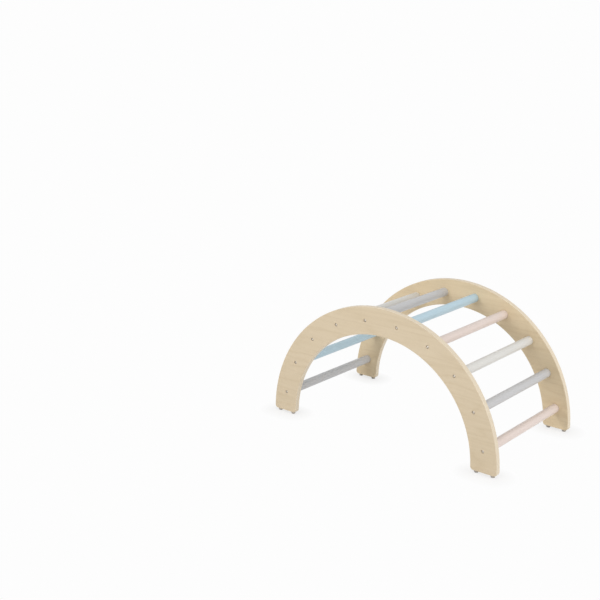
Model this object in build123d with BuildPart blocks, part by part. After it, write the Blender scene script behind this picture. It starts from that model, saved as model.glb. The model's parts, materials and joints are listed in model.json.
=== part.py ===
from build123d import *
import os
from math import cos, radians, sin

# A climbing arch for small children: two half-ring side panels joined by ten round rungs.
# It stands on the ends of its four legs, and each leg end has two small foot pads.
#
# Frame: +X runs along the arch, +Y along the rungs from the front panel to the back one, +Z up.
# The origin is on the floor under the middle of the arch. Every size is in millimetres.

os.makedirs("parts", exist_ok=True)

# Overall form
arch_width = 524.0  # over the outer faces of the two side panels
rung_circle_radius = 420.0  # the half circle that the rung axes lie on
rung_count = 10
first_rung_angle = 9.7  # degrees from a leg's end of the half circle up to its first rung

# Side panels, cut from birch plywood
panel_thickness = 21.0
panel_band = 98.0  # width of the half ring, with the rung circle at its middle
leg_drop = 3.0  # how far the ring runs on below the centre of the half circle
leg_corner_radius = 12.0
edge_round = 2.5

# Rungs, and the blind sockets that they stand in
rung_diameter = 32.0
rung_end_chamfer = 1.0
socket_depth = 8.0
socket_clearance = 0.15  # radial, between a rung and its socket

# Rung screws: low heads sunk below the panel's outer face
screw_diameter = 6.0
screw_head_diameter = 10.0
screw_head_height = 4.0
screw_head_recess = 5.0  # from the panel's outer face to the seat under the head
screw_head_clearance = 0.5  # radial, round the head
screw_hole_clearance = 0.25  # radial, round the shank in the panel
screw_engagement = 12.0  # length of shank inside the insert
screw_tip_chamfer = 0.8
screw_key_across_flats = 4.0
screw_key_depth = 2.2
screw_rim_chamfer = 0.5  # eased rim of the stepped hole

# Threaded inserts, flush with the ends of the rungs
insert_diameter = 10.0
insert_length = 14.0
insert_clearance = 0.05  # radial, between an insert and the wood
insert_chamfer = 0.6
thread_clearance = 0.05  # radial, between the shank and the insert
insert_hole_spare = 3.0  # depth left beyond the insert or the shank, whichever is longer

# Foot pads and their screws
foot_height = 8.0
foot_diameter = 16.0
foot_rim_height = 3.0  # upright part of the pad's side, next to the leg
foot_contact_diameter = 13.0  # where the sloping side meets the floor, before it is rounded
foot_shoulder_radius = 1.2
foot_contact_radius = 1.5
foot_inset = 18.5  # from the side of the leg to the pad's axis
foot_screw_diameter = 3.5
foot_screw_head_diameter = 6.0
foot_screw_head_height = 2.2
foot_screw_recess = 4.0  # from the floor up to the seat under the head
foot_screw_grip = 18.0  # length of shank in the leg
foot_screw_head_clearance = 0.5  # radial
foot_screw_hole_clearance = 0.25  # radial, in the pad
foot_screw_pilot_clearance = 0.05  # radial, in the wood
foot_screw_pilot_spare = 2.0
foot_screw_tip_chamfer = 1.0
foot_screw_slot_length = 3.6
foot_screw_slot_width = 0.9
foot_screw_slot_depth = 1.3

# Sizes that follow from the ones above
outer_radius = rung_circle_radius + panel_band / 2
inner_radius = rung_circle_radius - panel_band / 2
arc_centre_height = foot_height + leg_drop
rung_arc = 180 - 2 * first_rung_angle
rung_pitch = rung_arc / (rung_count - 1)
rung_length = arch_width - 2 * panel_thickness + 2 * socket_depth
screw_length = panel_thickness - screw_head_recess - socket_depth + screw_engagement
insert_hole_depth = max(insert_length, screw_engagement) + insert_hole_spare
foot_screw_length = foot_height - foot_screw_recess + foot_screw_grip
foot_offset = panel_band / 2 - foot_inset

FRONT = -1
BACK = 1
SIDE_NAMES = {FRONT: "front", BACK: "back"}


def outward_plane(side, depth):
    """A plane across the rungs, facing out of the arch, at a depth below a panel's outer face.

    Its origin is the centre of the half circle, and its second axis is up.
    """
    return Plane(
        origin=(0, side * (arch_width / 2 - depth), arc_centre_height),
        x_dir=(-side, 0, 0),
        z_dir=(0, side, 0),
    )


def inward_plane(side, depth):
    """The same plane, facing the other panel."""
    return Plane(
        origin=(0, side * (arch_width / 2 - depth), arc_centre_height),
        x_dir=(side, 0, 0),
        z_dir=(0, -side, 0),
    )


def rung_axes():
    """The places where the rung axes cross a plane that has its origin at the arc's centre."""
    return PolarLocations(
        radius=rung_circle_radius,
        count=rung_count,
        start_angle=first_rung_angle,
        angular_range=rung_arc,
        endpoint=True,
    )


def foot_places(side):
    """The four foot pads of one panel, from left to right, as a name and the pad's X and Y."""
    middle = side * (arch_width - panel_thickness) / 2
    return [
        ("left_outer", -rung_circle_radius - foot_offset, middle),
        ("left_inner", -rung_circle_radius + foot_offset, middle),
        ("right_inner", rung_circle_radius - foot_offset, middle),
        ("right_outer", rung_circle_radius + foot_offset, middle),
    ]


def make_side_panel(side):
    """A half ring with two short legs, its rung sockets, stepped screw holes and pilot holes."""
    with BuildPart() as panel:
        with BuildSketch(outward_plane(side, 0)) as ring:
            Circle(outer_radius)
            Circle(inner_radius, mode=Mode.SUBTRACT)
            with Locations((0, -leg_drop)):
                Rectangle(
                    2 * outer_radius,
                    outer_radius + leg_drop,
                    align=(Align.CENTER, Align.MIN),
                    mode=Mode.INTERSECT,
                )
            fillet(ring.vertices().group_by(Axis.Y)[0], leg_corner_radius)
        extrude(amount=-panel_thickness)
        fillet(panel.faces().filter_by(Axis.Y).edges(), edge_round)

        with Locations(outward_plane(side, 0)):
            with rung_axes():
                CounterBoreHole(
                    radius=screw_diameter / 2 + screw_hole_clearance,
                    counter_bore_radius=screw_head_diameter / 2 + screw_head_clearance,
                    counter_bore_depth=screw_head_recess,
                    depth=panel_thickness,
                )
        outward = Axis((0, 0, 0), (0, side, 0))
        outer_face = panel.faces().filter_by(Axis.Y).sort_by(outward)[-1]
        chamfer(outer_face.inner_wires().edges(), screw_rim_chamfer)

        with Locations(inward_plane(side, panel_thickness)):
            with rung_axes():
                Hole(radius=rung_diameter / 2 + socket_clearance, depth=socket_depth)

        for _, x, y in foot_places(side):
            with Locations(Plane(origin=(x, y, foot_height), z_dir=(0, 0, -1))):
                Hole(
                    radius=foot_screw_diameter / 2 + foot_screw_pilot_clearance,
                    depth=foot_screw_grip + foot_screw_pilot_spare,
                )
    return panel


def make_rung(angle):
    """A round rung at an angle on the half circle, with an insert hole in each end."""
    x = rung_circle_radius * cos(radians(angle))
    z = arc_centre_height + rung_circle_radius * sin(radians(angle))
    end_planes = [
        Plane(origin=(x, side * rung_length / 2, z), z_dir=(0, side, 0)) for side in (FRONT, BACK)
    ]
    with BuildPart() as rung:
        with BuildSketch(end_planes[0]):
            Circle(rung_diameter / 2)
        extrude(amount=-rung_length)
        chamfer(rung.edges().filter_by(GeomType.CIRCLE), rung_end_chamfer)
        with Locations(*end_planes):
            Hole(radius=insert_diameter / 2 + insert_clearance, depth=insert_hole_depth)
    return rung


def make_rung_inserts(side):
    """The threaded inserts of one panel: a plain tube in each rung end, flush with the end."""
    with BuildPart() as inserts:
        with BuildSketch(outward_plane(side, panel_thickness - socket_depth)):
            with rung_axes():
                Circle(insert_diameter / 2)
                Circle(screw_diameter / 2 + thread_clearance, mode=Mode.SUBTRACT)
        extrude(amount=-insert_length)
        inner_ends = inserts.faces().filter_by(Axis.Y).group_by(Axis((0, 0, 0), (0, side, 0)))[0]
        chamfer([face.outer_wire().edge() for face in inner_ends], insert_chamfer)
    return inserts


def make_rung_screws(side):
    """The rung screws of one panel: a low round head with a hexagon socket, and a plain shank."""
    head_top = outward_plane(side, screw_head_recess - screw_head_height)
    with BuildPart() as screws:
        with BuildSketch(outward_plane(side, screw_head_recess)):
            with rung_axes():
                Circle(screw_diameter / 2)
        extrude(amount=-screw_length)
        tips = screws.faces().filter_by(Axis.Y).group_by(Axis((0, 0, 0), (0, side, 0)))[0]
        chamfer(tips.edges(), screw_tip_chamfer)
        with BuildSketch(head_top):
            with rung_axes():
                Circle(screw_head_diameter / 2)
        extrude(amount=-screw_head_height)
        with BuildSketch(head_top):
            with rung_axes():
                RegularPolygon(radius=screw_key_across_flats / 2, side_count=6, major_radius=False)
        extrude(amount=-screw_key_depth, mode=Mode.SUBTRACT)
    return screws


def make_foot(x, y):
    """A round pad with sloping sides and a stepped screw hole that opens at the floor."""
    with BuildPart() as foot:
        with BuildSketch(Plane(origin=(x, y, 0), x_dir=(1, 0, 0), z_dir=(0, -1, 0))) as profile:
            with BuildLine():
                Polyline(
                    (0, 0),
                    (0, foot_height),
                    (foot_diameter / 2, foot_height),
                    (foot_diameter / 2, foot_height - foot_rim_height),
                    (foot_contact_diameter / 2, 0),
                    close=True,
                )
            make_face()
            contact_corner = profile.vertices().group_by(Axis.Y)[0].sort_by(Axis.X)[-1]
            fillet(contact_corner, foot_contact_radius)
            shoulder = profile.vertices().group_by(Axis.X)[-1].sort_by(Axis.Y)[0]
            fillet(shoulder, foot_shoulder_radius)
        revolve(axis=Axis((x, y, 0), (0, 0, 1)))
        with Locations(Plane(origin=(x, y, 0), z_dir=(0, 0, -1))):
            CounterBoreHole(
                radius=foot_screw_diameter / 2 + foot_screw_hole_clearance,
                counter_bore_radius=foot_screw_head_diameter / 2 + foot_screw_head_clearance,
                counter_bore_depth=foot_screw_recess,
                depth=foot_height,
            )
    return foot


def make_foot_screws(side):
    """The foot screws of one panel: a round head inside the pad, and a shank up into the leg."""
    centres = [(x, y) for _, x, y in foot_places(side)]
    head_bottom = Plane.XY.offset(foot_screw_recess - foot_screw_head_height)
    with BuildPart() as screws:
        with BuildSketch(Plane.XY.offset(foot_screw_recess)):
            with Locations(*centres):
                Circle(foot_screw_diameter / 2)
        extrude(amount=foot_screw_length)
        chamfer(screws.faces().group_by(Axis.Z)[-1].edges(), foot_screw_tip_chamfer)
        with BuildSketch(head_bottom):
            with Locations(*centres):
                Circle(foot_screw_head_diameter / 2)
        extrude(amount=foot_screw_head_height)
        with BuildSketch(head_bottom):
            with Locations(*centres):
                Rectangle(foot_screw_slot_length, foot_screw_slot_width)
                Rectangle(foot_screw_slot_width, foot_screw_slot_length)
        extrude(amount=foot_screw_slot_depth, mode=Mode.SUBTRACT)
    return screws


def save(builder, name):
    """Label a finished piece and write it under its own name."""
    builder.part.label = name
    export_step(builder.part, f"parts/{name}.step")


for side, side_name in SIDE_NAMES.items():
    save(make_side_panel(side), f"side_panel_{side_name}")
    save(make_rung_inserts(side), f"rung_inserts_{side_name}")
    save(make_rung_screws(side), f"rung_screws_{side_name}")
    save(make_foot_screws(side), f"foot_screws_{side_name}")
    for place, x, y in foot_places(side):
        save(make_foot(x, y), f"foot_{side_name}_{place}")

# The rungs are numbered from left to right, as seen from the front.
for number in range(rung_count):
    save(make_rung(180 - first_rung_angle - number * rung_pitch), f"rung_{number + 1:02d}")
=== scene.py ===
# %% [markdown]
# # Dressing a climbing arch
#
# The object is a low climbing arch for small children. Two half rings of birch plywood stand
# side by side, ten painted rungs join them, and eight small rubber pads carry the legs.
#
# Its shape comes from a CAD model that is already finished. This file gives that model its
# looks: the wood, the paint, the rubber and the metal, then a floor, the light and a camera.
# Each step has a note like this one, and then a short cell of code.
#
# The CAD model could be joined into one mesh and painted, but its pieces stay apart here,
# because each one is made of one material, and a finish is easier to get right piece by piece.

import json

import bpy
import numpy as np
from mathutils import Matrix, Vector


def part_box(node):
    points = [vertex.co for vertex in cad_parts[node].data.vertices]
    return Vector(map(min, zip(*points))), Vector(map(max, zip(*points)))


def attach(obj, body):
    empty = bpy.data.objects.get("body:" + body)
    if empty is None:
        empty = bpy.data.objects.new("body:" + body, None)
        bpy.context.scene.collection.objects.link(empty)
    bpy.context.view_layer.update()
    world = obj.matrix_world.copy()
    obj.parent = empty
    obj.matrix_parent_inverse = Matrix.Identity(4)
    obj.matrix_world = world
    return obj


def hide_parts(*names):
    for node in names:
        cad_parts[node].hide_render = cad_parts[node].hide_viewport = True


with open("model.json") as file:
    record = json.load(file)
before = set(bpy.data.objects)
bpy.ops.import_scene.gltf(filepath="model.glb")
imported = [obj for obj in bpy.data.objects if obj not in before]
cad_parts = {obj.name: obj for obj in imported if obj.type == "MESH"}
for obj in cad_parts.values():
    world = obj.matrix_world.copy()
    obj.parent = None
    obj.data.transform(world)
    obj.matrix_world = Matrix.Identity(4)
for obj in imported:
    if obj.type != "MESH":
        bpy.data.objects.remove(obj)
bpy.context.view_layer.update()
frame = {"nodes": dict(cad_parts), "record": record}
print("pieces in the model:", len(frame["nodes"]))

# %% [markdown]
# ## Measure the arch
#
# Everything is in metres, with the origin on the floor under the middle of the arch. X runs
# along the arch, Y along the rungs and Z up.
#
# The sizes that the later steps need could be typed in again. They are read off the model
# instead, so a pattern still fits if the model grows. The rungs lie on a half circle, and two
# of them are enough to find its centre: both are equally far from it, which leaves one
# equation for its height.

# %% Read the sizes off the model
MM = 0.001

panel_low, panel_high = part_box("side_panel_back")
inner_face, outer_face = panel_low.y, panel_high.y

rung_names = [name for name in frame["nodes"] if name.startswith("rung_") and name[-1].isdigit()]
rung_names = sorted(rung_names)
rung_boxes = [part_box(name) for name in rung_names]
rung_centres = np.array([(low + high) / 2 for low, high in rung_boxes])
rung_radius = (rung_boxes[0][1].x - rung_boxes[0][0].x) / 2
rung_half_length = rung_boxes[0][1].y

square = rung_centres[:, 0] ** 2 + rung_centres[:, 2] ** 2
arc_height = (square[-1] - square[5]) / (2 * (rung_centres[-1, 2] - rung_centres[5, 2]))
arc_radius = float(np.hypot(rung_centres[-1, 0], rung_centres[-1, 2] - arc_height))
rung_angles = np.arctan2(rung_centres[:, 2] - arc_height, rung_centres[:, 0])
rung_pitch = float(rung_angles[0] - rung_angles[-1]) / (len(rung_names) - 1)
print(f"half circle of the rungs: radius {arc_radius:.4f} m, centre {arc_height:.4f} m up")
print(f"plywood {outer_face - inner_face:.4f} m thick, rungs {2 * rung_radius:.4f} m across")

# %% [markdown]
# ## A few tools for materials
#
# A material in Blender is a small machine of nodes. Each node takes numbers, colours or places
# and hands on a result. The nodes could be laid out by hand in the editor. Written as short
# functions, they read like sums, and the same few are used for every finish.
#
# A colour read off a screen is not the number that a shader works with. The first function
# turns one into the other.

# %% Colours and plain sums
def seen(red, green, blue):
    """A colour as a screen shows it, 0 to 255, in the linear numbers of a shader.

    Each channel c becomes ((c + 0.055) / 1.055) to the power 2.4.
    """
    channels = np.array([red, green, blue]) / 255
    return (*(((channels + 0.055) / 1.055) ** 2.4).tolist(), 1.0)


def put(tree, value, socket):
    """Links a result to a socket, or writes a plain number into it."""
    if isinstance(value, bpy.types.NodeSocket):
        tree.links.new(value, socket)
    else:
        socket.default_value = value


def maths(tree, operation, *values):
    """One Math node, such as ADD, MULTIPLY or FLOOR."""
    node = tree.nodes.new("ShaderNodeMath")
    node.operation = operation
    for value, socket in zip(values, node.inputs):
        put(tree, value, socket)
    return node.outputs[0]


def remap(tree, value, low, high, new_low, new_high):
    """Slides low..high over to new_low..new_high, and holds the result between the two."""
    node = tree.nodes.new("ShaderNodeMapRange")
    for number, socket in zip((value, low, high, new_low, new_high), node.inputs):
        put(tree, number, socket)
    return node.outputs[0]


def distance(tree, first, second):
    """The length of the slant over two square sides, as a number or a result each."""
    squares = [maths(tree, "MULTIPLY", side, side) for side in (first, second)]
    return maths(tree, "SQRT", maths(tree, "ADD", *squares))


# %% Choices, colour blends and places
def choose(tree, share, first, second):
    """The first number where share is 0, the second where it is 1."""
    node = tree.nodes.new("ShaderNodeMix")
    for value, socket in zip((share, first, second), (node.inputs[0], *node.inputs[2:4])):
        put(tree, value, socket)
    return node.outputs[0]


def blend(tree, share, first, second, how="MIX"):
    """The same for colours. MULTIPLY darkens the first by the second instead."""
    node = tree.nodes.new("ShaderNodeMix")
    node.data_type = "RGBA"
    node.blend_type = how
    for value, socket in zip((share, first, second), (node.inputs[0], *node.inputs[6:8])):
        put(tree, value, socket)
    return node.outputs[2]


def point(tree, x, y, z):
    """Three numbers as one place."""
    node = tree.nodes.new("ShaderNodeCombineXYZ")
    for value, socket in zip((x, y, z), node.inputs):
        put(tree, value, socket)
    return node.outputs[0]


def parts_of(tree, place):
    """One place as its three numbers."""
    node = tree.nodes.new("ShaderNodeSeparateXYZ")
    put(tree, place, node.inputs[0])
    return node.outputs[0], node.outputs[1], node.outputs[2]


# %% [markdown]
# ### Clouds with a size
#
# Wood is streaks inside streaks, and so is most of what makes a surface look real. Blender's
# Noise gives soft blobs about one unit across. If a place is first divided by the length and
# the width of a streak, the blobs come out as long and as thin as that streak. So every
# pattern below is given by the size of its spots in metres, which can be checked against a
# real board, where a bare noise scale could not.

# %% Noise by the size of its spots, and a finish to put it in
def cloud(tree, place, size, detail=2.0, roughness=0.5, swirl=0.0):
    """Soft spots around 0.5 with the given sizes: noise of the place divided by the sizes."""
    stretch = tree.nodes.new("ShaderNodeVectorMath")
    stretch.operation = "DIVIDE"
    put(tree, place, stretch.inputs[0])
    stretch.inputs[1].default_value = size
    noise = tree.nodes.new("ShaderNodeTexNoise")
    noise.inputs["Scale"].default_value = 1.0
    noise.inputs["Detail"].default_value = detail
    noise.inputs["Roughness"].default_value = roughness
    noise.inputs["Distortion"].default_value = swirl
    tree.links.new(stretch.outputs[0], noise.inputs["Vector"])
    return noise.outputs[0]


def new_finish(name, **settings):
    """A material, its node tree and its shader, with plain settings on the shader's sockets."""
    material = bpy.data.materials.new(name)
    material.use_nodes = True
    shader = material.node_tree.nodes["Principled BSDF"]
    for socket, value in settings.items():
        shader.inputs[socket.replace("_", " ")].default_value = value
    return material, material.node_tree, shader


def raise_surface(tree, shader, height, depth):
    """Lets a height pattern tilt the light on the surface, as if it were depth metres deep."""
    bump = tree.nodes.new("ShaderNodeBump")
    bump.inputs["Distance"].default_value = depth
    put(tree, height, bump.inputs["Height"])
    tree.links.new(bump.outputs[0], shader.inputs["Normal"])


# %% [markdown]
# ## Birch plywood
#
# The side panels are cut from birch plywood: fifteen thin veneers, glued so that the grain of
# each one crosses the next. The faces show one veneer, peeled off a turning log, with pale
# flames along the arch. The cut edge shows all fifteen as fine stripes.
#
# The stripes could be an image wrapped round the edge, with the faces a second material. Here
# the wood is worked out for every point inside the board instead, as if the board were really
# solid. A face, an edge, a rounded corner and the wall of a drilled hole then all show what a
# saw or a drill would have shown there, and nothing has to be unwrapped.
#
# The first cell finds which veneer a point is in, counted across the thickness. The outermost
# veneers are held half a veneer deep, so that a face never lands on a line of glue. Every
# other veneer runs up the panel and not along it, which swaps the two directions.

# %% Which veneer, and which way it runs
VENEERS = 15

plywood, tree, shader = new_finish("birch_plywood", Coat_Weight=0.12, Coat_Roughness=0.3)
coordinates = tree.nodes.new("ShaderNodeTexCoord")
x, y, z = parts_of(tree, coordinates.outputs["Object"])

veneer = (outer_face - inner_face) / VENEERS
stack = remap(
    tree,
    maths(tree, "ABSOLUTE", y),
    inner_face + veneer / 2,
    outer_face - veneer / 2,
    0.5,
    VENEERS - 0.5,
)
layer = maths(tree, "FLOOR", stack)
crossed = maths(tree, "MODULO", layer, 2.0)
along = choose(tree, crossed, x, z)
across = choose(tree, crossed, z, x)
sheet = maths(tree, "MULTIPLY_ADD", layer, 0.37, y)
timber = point(tree, along, across, sheet)
print(f"{VENEERS} veneers of {veneer / MM:.2f} mm")

# %% [markdown]
# ### Fibres, flames and pores
#
# Three things make birch look like birch. Fine fibres run the length of the veneer. Broad,
# closed flames show where the knife crossed the rings of the log: they are the contour lines of
# a slow, stretched cloud, so its value is folded back and forth a few times. Short dark pores
# lie between the fibres. All three stay faint, because birch is an even, pale wood.

# %% The figure of the wood
fibres = cloud(tree, timber, (60 * MM, 0.9 * MM, 0.9 * MM), detail=3.0, roughness=0.6)
ripple = cloud(tree, timber, (150 * MM, 9 * MM, 50 * MM), detail=2.0)
slow = cloud(tree, timber, (480 * MM, 70 * MM, 60 * MM), detail=1.5, swirl=0.4)
folded = maths(tree, "PINGPONG", maths(tree, "MULTIPLY", slow, 8.0), 0.5)
flames = maths(tree, "POWER", maths(tree, "MULTIPLY", folded, 2.0), 2.5)
pores = remap(
    tree,
    cloud(tree, timber, (5 * MM, 0.35 * MM, 0.35 * MM), detail=1.0),
    0.64,
    0.74,
    0.0,
    1.0,
)

# %% [markdown]
# ### End grain and glue
#
# Where a veneer is cut across its fibres, the ends of the fibres drink the lacquer and turn
# darker. That happens where the surface faces along the grain. The surface's own direction
# tells it: squared, its part along X is the share of end grain in a veneer that runs along X,
# and its part along Z is the share in a crossed one. So the stripes on the edge swap light and
# dark between the top of the arch and the legs, as they do on the real board.
#
# The glue is a thin dark line where one veneer ends and the next begins. Round each drilled hole
# the wood is darkened, partly as burnished fibres and partly as painted shade in and at the rim of
# the hole.

# %% End grain, glue lines, and burnish with painted shade at the rims of the drilled holes
facing_x, facing_y, facing_z = parts_of(tree, coordinates.outputs["Normal"])
end_grain = choose(
    tree,
    crossed,
    maths(tree, "MULTIPLY", facing_x, facing_x),
    maths(tree, "MULTIPLY", facing_z, facing_z),
)
to_glue = maths(tree, "PINGPONG", maths(tree, "FRACT", stack), 0.5)
glue = remap(tree, to_glue, 0.02, 0.09, 1.0, 0.0)

rise = maths(tree, "SUBTRACT", z, arc_height)
turn = maths(tree, "SUBTRACT", maths(tree, "ARCTAN2", rise, x), float(rung_angles[-1]))
steps = maths(tree, "FRACT", maths(tree, "MULTIPLY_ADD", turn, 1 / rung_pitch, 0.5))
sideways = maths(tree, "MULTIPLY", maths(tree, "SUBTRACT", steps, 0.5), arc_radius * rung_pitch)
inwards = maths(tree, "SUBTRACT", distance(tree, x, rise), arc_radius)
from_screw = distance(tree, sideways, inwards)
rim_start, rim_end = 5.6 * MM, 7.2 * MM
rim_burn_and_shade = remap(tree, from_screw, rim_start, rim_end, 1.0, 0.0)

# %% [markdown]
# ### Put the board together
#
# The back board is painted a shade brighter and yellower than the front one, as painted light:
# more light and warm bounce from the wood reach its inner face. The cut edges are painted paler
# than the faces, as painted light where they catch the lamps. One colour for all of it would be
# simpler, but the picture shows both differences clearly.
#
# The colours are blended from the widest pattern to the finest, and the lacquer is a soft satin
# that is a little rougher over the open fibres. The height pattern is only a few hundredths of a
# millimetre deep: enough for the light to catch, too little to look like sawn timber.

# %% Colour, satin and surface of the board
depth_of_figure = maths(tree, "MULTIPLY_ADD", flames, 0.22, maths(tree, "MULTIPLY", ripple, 0.42))
depth_of_figure = maths(tree, "MULTIPLY_ADD", fibres, 0.40, depth_of_figure)
depth_of_figure = remap(tree, depth_of_figure, 0.22, 0.95, 0.0, 1.0)
# painted light: the back board's colours are a shade brighter and yellower, for the extra light and
# warm bounce that reach its inner face
back_board_painted_light = remap(tree, y, -inner_face, inner_face, 0.0, 1.0)
pale = blend(tree, back_board_painted_light, seen(217, 200, 172), seen(230, 211, 177))
deep = blend(tree, back_board_painted_light, seen(200, 181, 149), seen(213, 191, 154))
wood = blend(tree, depth_of_figure, pale, deep)
# painted light: surfaces that do not face along Y, the cut edges, are painted paler, as if lit by the
# lamps on the right and above
cut = maths(tree, "SUBTRACT", 1.0, maths(tree, "MULTIPLY", facing_y, facing_y))
wood = blend(tree, maths(tree, "MULTIPLY", cut, 0.8), wood, seen(244, 233, 212))
wood = blend(tree, maths(tree, "MULTIPLY", pores, 0.35), wood, seen(160, 132, 98))
wood = blend(tree, maths(tree, "MULTIPLY", end_grain, 0.35), wood, seen(226, 206, 176), "MULTIPLY")
wood = blend(tree, maths(tree, "MULTIPLY", glue, 0.35), wood, seen(168, 138, 104), "MULTIPLY")
# partly burnished fibres round each drilled hole, partly painted shade in the hole and on its rim
wood = blend(tree, maths(tree, "MULTIPLY", rim_burn_and_shade, 0.18), wood, seen(150, 118, 84), "MULTIPLY")
tree.links.new(wood, shader.inputs["Base Color"])
tree.links.new(remap(tree, fibres, 0.3, 0.7, 0.44, 0.58), shader.inputs["Roughness"])

relief = maths(tree, "SUBTRACT", fibres, pores)
raise_surface(tree, shader, relief, 0.05 * MM)

for name in ("side_panel_front", "side_panel_back"):
    for material_slot in frame["nodes"][name].material_slots:
        material_slot.material = plywood
print("plywood nodes:", len(tree.nodes))

# %% [markdown]
# ## Turned shapes
#
# The rungs, the pads and the screws are all turned: round an axis, they look the same from
# every side. A Screw modifier could spin a drawn curve. Worked out directly, the surface is one
# short formula with two parameters, the place along the profile and the angle round the axis,
# and it comes out closed, with its faces outwards.
#
# The first function draws the profile. It takes the corners as a draughtsman would give them
# and rounds each one a little, because no real edge is perfectly sharp.

# %% A profile with rounded corners
def rounded(corners, cuts, steps=5):
    """A chain of straight runs with its inner corners rounded.

    A corner B gives way to the curve (1-k)(1-k) S + 2 k (1-k) B + k k E, where S and E lie one
    cut away from B, back along the run before it and on along the run after it.
    """
    corners = np.array(corners) * MM
    cuts = np.array(cuts)[:, None] * MM
    before, corner, after = corners[:-2], corners[1:-1], corners[2:]
    start = corner + (before - corner) / np.linalg.norm(before - corner, axis=1, keepdims=True) * cuts
    end = corner + (after - corner) / np.linalg.norm(after - corner, axis=1, keepdims=True) * cuts
    k = np.linspace(0, 1, steps)[None, :, None]
    curve = (1 - k) ** 2 * start[:, None] + 2 * k * (1 - k) * corner[:, None] + k**2 * end[:, None]
    return np.vstack([corners[:1], curve.reshape(-1, 2), corners[-1:]])


# %% The profile carried round an axis
def turned(profile, steps, section=1.0):
    """Points and faces of a closed turned solid about the third axis.

    Its surface is P(i, a) = (r cos a, r sin a, s), where (r, s) is point i of the profile and a
    goes once round. Both ends of the profile lie on the axis and become one point each. Section
    multiplies r, and may change with i and a, so that a part of the solid isn't round.
    """
    angle = np.arange(steps) * 2 * np.pi / steps
    radius = profile[1:-1, :1] * section
    height = np.broadcast_to(profile[1:-1, 1:], (len(profile) - 2, steps))
    radius = np.broadcast_to(radius, height.shape)
    grid = np.stack([radius * np.cos(angle), radius * np.sin(angle), height], axis=-1)
    first, last = [(0, 0, profile[0, 1])], [(0, 0, profile[-1, 1])]
    points = np.vstack([first, grid.reshape(-1, 3), last])

    here = 1 + np.arange(grid.shape[0] * steps).reshape(-1, steps)
    beside = np.roll(here, -1, axis=1)
    sides = np.stack([here[:-1], beside[:-1], beside[1:], here[1:]], axis=-1).reshape(-1, 4)
    start_cap = np.stack([np.zeros(steps, int), beside[0], here[0]], axis=-1)
    end_cap = np.stack([here[-1], beside[-1], np.full(steps, len(points) - 1)], axis=-1)
    return points, sides.tolist() + start_cap.tolist() + end_cap.tolist()


# %% Points into a finished piece
def stand(points, centre, axis):
    """Carries points from about the third axis to about another axis through a centre.

    P goes to centre + P1 u + P2 v + P3 axis, with u and v square to the axis and each other.
    """
    axis = np.array(axis, float)
    u = np.cross(axis, (0.0, 0.0, 1.0)) if abs(axis[2]) < 0.5 else np.array([1.0, 0.0, 0.0])
    v = np.cross(axis, u)
    return np.array(centre) + points @ np.array([u, v, axis])


def make_piece(name, points, faces, material, slot, *stands_for):
    """A mesh object that rides on the arch and stands for the named nodes of the CAD model."""
    mesh = bpy.data.meshes.new(name)
    mesh.from_pydata(points.tolist(), [], faces)
    mesh.shade_smooth()
    mesh.set_sharp_from_angle(angle=np.radians(40))
    mesh.materials.append(material)
    piece = bpy.data.objects.new(name, mesh)
    bpy.context.scene.collection.objects.link(piece)
    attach(piece, "root")
    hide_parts(*stands_for)
    return piece


# %% [markdown]
# ## Painted rungs
#
# The rungs are beech dowels in soft colours: grey, blue, pink and off-white in turn. The paint
# is thin and satin, so the grain below still shows as faint ridges along the rung, with the
# fine texture of a roller over it.
#
# One material could serve all the rungs with the wood read from where they stand in space. But
# each dowel was sawn from another part of the log, so each carries its own timber: its points
# keep their place inside an imaginary log, turned and shifted by chance, in an attribute that
# the material reads. The chance is seeded, so it falls the same way every time.

# %% The paint
def painted(name, colour, under):
    """Satin paint over straight-grained timber, read from the attribute called timber."""
    material, tree, shader = new_finish(name, Coat_Weight=0.10, Coat_Roughness=0.25)
    log = tree.nodes.new("ShaderNodeAttribute")
    log.attribute_name = "timber"
    place = log.outputs["Vector"]
    inside, _, _ = parts_of(tree, place)

    fibres = cloud(tree, place, (0.8 * MM, 0.8 * MM, 70 * MM), detail=3.0, roughness=0.6)
    bend = cloud(tree, place, (9 * MM, 9 * MM, 260 * MM), detail=1.0)
    bent = maths(tree, "MULTIPLY", bend, 3.0)
    rings = maths(tree, "PINGPONG", maths(tree, "MULTIPLY_ADD", inside, 1 / (3.2 * MM), bent), 0.5)
    rings = maths(tree, "POWER", maths(tree, "MULTIPLY", rings, 2.0), 3.0)
    roller = cloud(tree, place, (1.3 * MM, 1.3 * MM, 1.9 * MM), detail=2.0)
    patches = cloud(tree, place, (26 * MM, 26 * MM, 60 * MM), detail=2.0)

    grain = maths(tree, "MULTIPLY_ADD", rings, 0.5, fibres)
    thin = remap(tree, maths(tree, "MULTIPLY_ADD", patches, 0.5, grain), 0.55, 1.35, 0.0, 0.30)
    tree.links.new(blend(tree, thin, colour, under), shader.inputs["Base Color"])
    tree.links.new(remap(tree, roller, 0.3, 0.7, 0.38, 0.50), shader.inputs["Roughness"])
    height = maths(tree, "MULTIPLY_ADD", roller, 0.35, maths(tree, "SUBTRACT", 1.0, grain))
    raise_surface(tree, shader, height, 0.04 * MM)
    return material


PAINTS = {
    "rung_grey": painted("grey_paint", seen(204, 204, 205), seen(186, 183, 180)),
    "rung_blue": painted("blue_paint", seen(193, 219, 232), seen(174, 196, 205)),
    "rung_pink": painted("pink_paint", seen(234, 219, 211), seen(217, 196, 183)),
    "rung_white": painted("white_paint", seen(228, 227, 223), seen(211, 204, 191)),
}
print("paints:", ", ".join(PAINTS))

# %% [markdown]
# The dowel's profile starts on its axis at the bottom of the hole for the insert, comes out
# along the hole, crosses the end, rounds the eased rim, and runs on to the other end in the
# same way. The record of the model says which colour each rung has.

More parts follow.
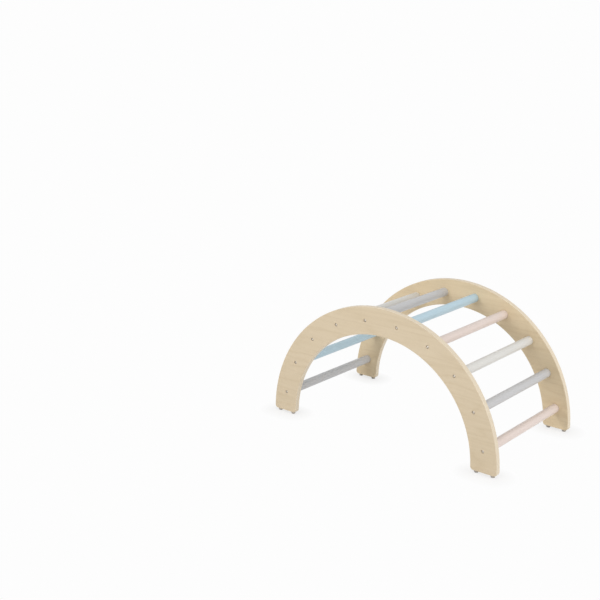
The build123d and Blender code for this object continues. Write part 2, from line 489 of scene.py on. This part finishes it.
# %% Turn the ten rungs
hole_radius, hole_depth, ease = 5.05, 17.0, 1.0  # the insert's hole and the rim, in millimetres
rung_r, rung_l = rung_radius / MM, rung_half_length / MM
half = [
    (0, hole_depth - rung_l),
    (hole_radius, hole_depth - rung_l),
    (hole_radius, -rung_l),
    (rung_r - ease, -rung_l),
    (rung_r, ease - rung_l),
]
other_half = [(r, -s) for r, s in reversed(half)]
dowel = rounded(half + other_half, [0.1, 0.3, 0.3, 0.5, 0.5, 0.3, 0.3, 0.1])
dowel_points, dowel_faces = turned(dowel, 96)

slots = {part["node"]: part["material_slot"] for part in frame["record"]["subparts"]}
chance = np.random.default_rng(7)
for name, centre in zip(rung_names, rung_centres):
    slot = slots[name]
    points = stand(dowel_points, centre, (0, 1, 0))
    rung = make_piece(f"painted_{name}", points, dowel_faces, PAINTS[slot], slot, name)
    angle = chance.uniform(0, 2 * np.pi)
    cosine, sine = np.cos(angle), np.sin(angle)
    spin = np.array([[cosine, -sine, 0], [sine, cosine, 0], [0, 0, 1]])
    log_place = dowel_points @ spin + chance.uniform(0.05, 0.6, 3)
    timber = rung.data.attributes.new("timber", "FLOAT_VECTOR", "POINT")
    timber.data.foreach_set("vector", log_place.astype(np.float32).ravel())
print(f"{len(rung_names)} rungs of {len(dowel_points)} points each")

# %% [markdown]
# ## Rubber pads
#
# Each leg stands on two small pads of grey rubber, which keep it off the floor and stop it
# sliding. A pad is moulded: a short upright collar under the wood, a sloping side, a rounded
# rim where it meets the floor, and a hole with a ledge for its screw.
#
# The CAD pad has the right sizes. The turned one adds what the mould leaves, a soft bulge and
# a fine seam at the collar, which the light picks out at this size.

# %% The rubber
def rubber_finish():
    """Matt grey rubber: a fine moulded stipple, with dust in it towards the floor."""
    material, tree, shader = new_finish("grey_rubber", Specular_IOR_Level=0.35)
    coordinates = tree.nodes.new("ShaderNodeTexCoord")
    place = coordinates.outputs["Object"]
    _, _, up = parts_of(tree, place)
    stipple = cloud(tree, place, (0.35 * MM, 0.35 * MM, 0.35 * MM), detail=2.0)
    patches = cloud(tree, place, (4 * MM, 4 * MM, 3 * MM), detail=3.0)
    low = remap(tree, up, 0.0, 3 * MM, 0.5, 0.0)
    dust = maths(tree, "MULTIPLY", maths(tree, "ADD", low, 0.25), patches)
    grey = blend(tree, dust, seen(172, 165, 158), seen(202, 195, 186))
    tree.links.new(grey, shader.inputs["Base Color"])
    tree.links.new(remap(tree, patches, 0.3, 0.7, 0.62, 0.82), shader.inputs["Roughness"])
    raise_surface(tree, shader, stipple, 0.06 * MM)
    return material


rubber = rubber_finish()

# %% Mould the eight pads
ledge, floor_hole, shank_hole = 4.0, 3.5, 2.0  # the hole for the screw, in millimetres
pad_names = sorted(name for name in frame["nodes"] if name.startswith(("foot_front_", "foot_back_")))
pad_low, pad_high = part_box(pad_names[0])
pad_r, pad_h = (pad_high.x - pad_low.x) / 2 / MM, pad_high.z / MM
pad = [
    (shank_hole, ledge),
    (floor_hole, ledge),
    (floor_hole, 0.0),
    (pad_r - 1.55, 0.0),
    (pad_r - 0.35, 4.7),
    (pad_r, 5.2),
    (pad_r, 6.9),
    (pad_r - 0.25, 7.1),
    (pad_r - 0.25, pad_h),
    (shank_hole, pad_h),
]
pad_cuts = [0.2, 0.2, 0.4, 1.4, 0.9, 0.4, 0.12, 0.12, 0.3, 0.2]
pad_profile = rounded(pad[-1:] + pad + pad[:1], pad_cuts)[1:-1]


def turned_ring(profile, steps):
    """The same surface P(i, a) for a closed profile that keeps clear of the axis."""
    angle = np.arange(steps) * 2 * np.pi / steps
    radius, height = profile[:, :1], np.broadcast_to(profile[:, 1:], (len(profile), steps))
    grid = np.stack([radius * np.cos(angle), radius * np.sin(angle), height], axis=-1)
    here = np.arange(len(profile) * steps).reshape(-1, steps)
    beside, after = np.roll(here, -1, axis=1), np.roll(here, -1, axis=0)
    faces = np.stack([here, beside, np.roll(beside, -1, axis=0), after], axis=-1)
    return grid.reshape(-1, 3), faces.reshape(-1, 4).tolist()


pad_points, pad_faces = turned_ring(pad_profile, 64)
for name in pad_names:
    low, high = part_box(name)
    centre = ((low.x + high.x) / 2, (low.y + high.y) / 2, 0.0)
    points = stand(pad_points, centre, (0, 0, 1))
    make_piece(f"rubber_{name}", points, pad_faces, rubber, "foot_rubber", name)
print(f"{len(pad_names)} pads, {pad_h:.1f} mm high and {2 * pad_r:.1f} mm across")

# %% [markdown]
# ## Screws and inserts
#
# A steel screw with a low, domed head sits in a stepped hole at each end of every rung, a
# millimetre below the face of the panel. It holds in a brass insert inside the rung. On the
# arch only the dome and its six-sided socket are seen, in the shade of the hole.
#
# The six-sided socket is part of the same turned surface. Where the profile goes down into it,
# the radius is multiplied by the outline of a hexagon, so it is no longer round.

# %% The metals
def metal(name, colour, worn, roughness):
    """Bare metal with fine scratches and a faint cloud of handling marks."""
    material, tree, shader = new_finish(name, Metallic=1.0)
    coordinates = tree.nodes.new("ShaderNodeTexCoord")
    place = coordinates.outputs["Object"]
    marks = cloud(tree, place, (3 * MM, 3 * MM, 3 * MM), detail=3.0)
    scratches = cloud(tree, place, (2.5 * MM, 0.12 * MM, 0.12 * MM), detail=2.0, swirl=0.3)
    handled = remap(tree, marks, 0.35, 0.7, 0.0, 1.0)
    tree.links.new(blend(tree, handled, colour, worn), shader.inputs["Base Color"])
    rough = maths(tree, "MULTIPLY_ADD", scratches, 0.2, roughness - 0.1)
    tree.links.new(rough, shader.inputs["Roughness"])
    raise_surface(tree, shader, scratches, 0.006 * MM)
    return material


steel = metal("plated_steel", seen(214, 207, 196), seen(192, 184, 172), 0.42)
brass = metal("brass", seen(201, 170, 108), seen(170, 140, 86), 0.34)
for name, material in (
    ("foot_screws_front", steel),
    ("foot_screws_back", steel),
    ("rung_inserts_front", brass),
    ("rung_inserts_back", brass),
):
    for material_slot in frame["nodes"][name].material_slots:
        material_slot.material = material

# %% Turn the twenty rung screws
shank_r, head_r, key_r = 3.0, 5.0, 2.0 / np.cos(np.pi / 6)
seat, brim, dome_top, key_floor = -5.0, -3.1, -1.0, -3.2  # from the panel's face, in millimetres
tip = (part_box("rung_screws_back")[0].y - outer_face) / MM
point_cut = 0.8
screw = [
    (0.0, tip),
    (shank_r - point_cut, tip),
    (shank_r, tip + point_cut),
    (shank_r, seat),
    (head_r, seat),
    (head_r, brim),
    (4.1, -1.35),
    (2.9, dome_top),
    (key_r, -1.15),
    (key_r, key_floor),
    (0.0, key_floor - 0.3),
]
screw_profile = rounded(screw, [0.3, 0.3, 0.2, 0.25, 0.7, 0.8, 0.3, 0.1, 0.15])
socket = np.abs(screw_profile[1:-1, :1] - key_r * MM) < 0.01 * MM
socket = socket & (screw_profile[1:-1, 1:] > seat * MM)
angle = np.arange(96) * 2 * np.pi / 96
hexagon = np.cos(np.pi / 6) / np.cos(angle % (np.pi / 3) - np.pi / 6)
screw_points, screw_faces = turned(screw_profile, 96, np.where(socket, hexagon, 1.0))

faces = []
for k in range(len(rung_centres)):
    faces += [[corner + k * len(screw_points) for corner in face] for face in screw_faces]
for side, side_name in ((-1, "front"), (1, "back")):
    places = [(c[0], side * outer_face, c[2]) for c in rung_centres]
    points = np.vstack([stand(screw_points, place, (0, side, 0)) for place in places])
    stands_for = f"rung_screws_{side_name}"
    make_piece(f"domed_screws_{side_name}", points, faces, steel, "screw_steel", stands_for)
print("screws of", len(screw_points), "points each")

# %% [markdown]
# ## Floor and background
#
# The arch stands in a white studio. The floor could simply be lit until it is white, but that
# much light would wash out the pale wood. Instead the floor and the world beyond it answer the
# camera's own rays with plain white, and every other ray with an ordinary pale surface. Near
# the legs a share of the real floor shows through, which keeps the soft shadow under them; that
# floor is a little darker than the white even where it is lit, so it also paints a faint grey
# shade round each leg.

# %% A floor that is white to the camera, keeps the shadow and paints a faint shade round the legs
def plain_to_camera(tree):
    """1 for the rays that look at a background, from the camera or by way of metal or glass."""
    rays = tree.nodes.new("ShaderNodeLightPath")
    either = maths(tree, "MAXIMUM", rays.outputs["Is Camera Ray"], rays.outputs["Is Glossy Ray"])
    return maths(tree, "MAXIMUM", either, rays.outputs["Is Transmission Ray"])


paper_white = (0.983, 0.983, 0.983, 1.0)
floor_half = 8.0
corners = [(floor_half * i, floor_half * j, 0) for i, j in ((-1, -1), (1, -1), (1, 1), (-1, 1))]
floor_mesh = bpy.data.meshes.new("floor")
floor_mesh.from_pydata(corners, [], [(0, 1, 2, 3)])
floor = bpy.data.objects.new("floor", floor_mesh)
bpy.context.scene.collection.objects.link(floor)

paper, tree, shader = new_finish("studio_floor", Roughness=0.9, Specular_IOR_Level=0.1)
shader.inputs["Base Color"].default_value = seen(240, 240, 240)
coordinates = tree.nodes.new("ShaderNodeTexCoord")
x, y, _ = parts_of(tree, coordinates.outputs["Object"])
leg_x, leg_y = arc_radius, (inner_face + outer_face) / 2
off_x = maths(tree, "SUBTRACT", maths(tree, "ABSOLUTE", x), leg_x)
off_y = maths(tree, "SUBTRACT", maths(tree, "ABSOLUTE", y), leg_y)
leg_half_width = 0.03
off_x = maths(tree, "SUBTRACT", maths(tree, "ABSOLUTE", off_x), leg_half_width)
off_x = maths(tree, "MAXIMUM", off_x, 0.0)
from_leg = distance(tree, off_x, off_y)
shade_start, shade_end, least_white = 0.005, 0.08, 0.72
# painted shade: less white near the legs, so a faint grey shows round them even where the floor is
# lit
white_share_painted_shade = remap(tree, from_leg, shade_start, shade_end, least_white, 1.0)
glow = tree.nodes.new("ShaderNodeEmission")
glow.inputs["Color"].default_value = paper_white
floor_mix = tree.nodes.new("ShaderNodeMixShader")
tree.links.new(maths(tree, "MULTIPLY", plain_to_camera(tree), white_share_painted_shade), floor_mix.inputs[0])
tree.links.new(shader.outputs[0], floor_mix.inputs[1])
tree.links.new(glow.outputs[0], floor_mix.inputs[2])
tree.links.new(floor_mix.outputs[0], tree.nodes["Material Output"].inputs["Surface"])
floor_mesh.materials.append(paper)

# %% [markdown]
# ## Light
#
# The picture has the even light of a product photograph. A pale sky all round does about half
# of the work, as white walls would. A small lamp in front, nearly level and a little to the
# left, lights the faces of the panels and draws the faint shadows beside the rung ends. A broad
# lamp on the right brightens the outer edges of the panels, and a broad one above the top.
#
# A lamp's power could be found by trial. It is worked out from its distance instead: a square
# lamp of power p at distance d gives a surface that faces it the brightness p / (pi pi d d) of
# what its colour says, so the share of plain light that each lamp gives can be written down.

# %% The sky and three soft lamps
world = bpy.data.worlds.new("studio")
bpy.context.scene.world = world
world.use_nodes = True
tree = world.node_tree
sky = tree.nodes["Background"]
sky.inputs["Color"].default_value = (1.0, 1.0, 1.0, 1.0)
sky.inputs["Strength"].default_value = 0.50
backdrop = tree.nodes.new("ShaderNodeBackground")
backdrop.inputs["Color"].default_value = paper_white
backdrop.inputs["Strength"].default_value = 1.0
sky_mix = tree.nodes.new("ShaderNodeMixShader")
tree.links.new(plain_to_camera(tree), sky_mix.inputs[0])
tree.links.new(sky.outputs[0], sky_mix.inputs[1])
tree.links.new(backdrop.outputs[0], sky_mix.inputs[2])
tree.links.new(sky_mix.outputs[0], tree.nodes["World Output"].inputs["Surface"])


def soft_lamp(name, direction, far, width, share):
    """A square lamp that looks at the arch and gives a share of plain light there."""
    data = bpy.data.lights.new(name, "AREA")
    data.size = width
    data.energy = share * np.pi**2 * far**2
    lamp = bpy.data.objects.new(name, data)
    towards = Vector(direction).normalized()
    lamp.location = Vector((0.0, 0.0, 0.25)) + towards * far
    lamp.rotation_euler = towards.to_track_quat("Z", "Y").to_euler()
    bpy.context.scene.collection.objects.link(lamp)
    print(f"{name}: {data.energy:.0f} W")


soft_lamp("lamp_front", (-0.15, -1.0, 0.24), 3.2, 0.6, 0.28)
soft_lamp("lamp_right", (1.0, 0.10, 0.36), 3.6, 2.4, 0.34)
soft_lamp("lamp_above", (0.0, -0.4, 1.0), 3.2, 2.4, 0.19)

# %% [markdown]
# ## Camera
#
# The camera stands where the photograph was taken from. It could be moved by eye until the
# pictures agree. It was solved instead: the places of the ten screws, the eight pads and the
# outlines of both panels in the picture leave one camera that sees them all where they are.
# It looks down by about 16 degrees, from 40 degrees to the right of the front, and is tilted by
# less than half a degree. The arch lies low on the right of its square frame, which is why the
# camera aims beside the arch.

# %% Place the camera
PICTURE = 600
azimuth, elevation, roll = np.radians(39.858), np.radians(15.534), np.radians(0.438)
focal_pixels = 1034.70
away, aside, above = 3.78739, -0.43876, 0.43588

level, rise = np.cos(elevation), np.sin(elevation)
back = Vector((np.sin(azimuth) * level, -np.cos(azimuth) * level, rise))
right = Vector((np.cos(azimuth), np.sin(azimuth), 0.0))
up = back.cross(right)

camera_data = bpy.data.cameras.new("camera")
camera_data.sensor_fit = "HORIZONTAL"
camera_data.lens = focal_pixels / PICTURE * camera_data.sensor_width
camera = bpy.data.objects.new("camera", camera_data)
camera.location = back * away + right * aside + up * above
tilted_right = right * np.cos(roll) + up * np.sin(roll)
camera.rotation_euler = Matrix((tilted_right, back.cross(tilted_right), back)).transposed().to_euler()
bpy.context.scene.collection.objects.link(camera)
bpy.context.scene.camera = camera
bpy.context.scene.view_settings.view_transform = "Standard"
print(f"lens {camera_data.lens:.1f} mm, camera {camera.location.length:.2f} m away")
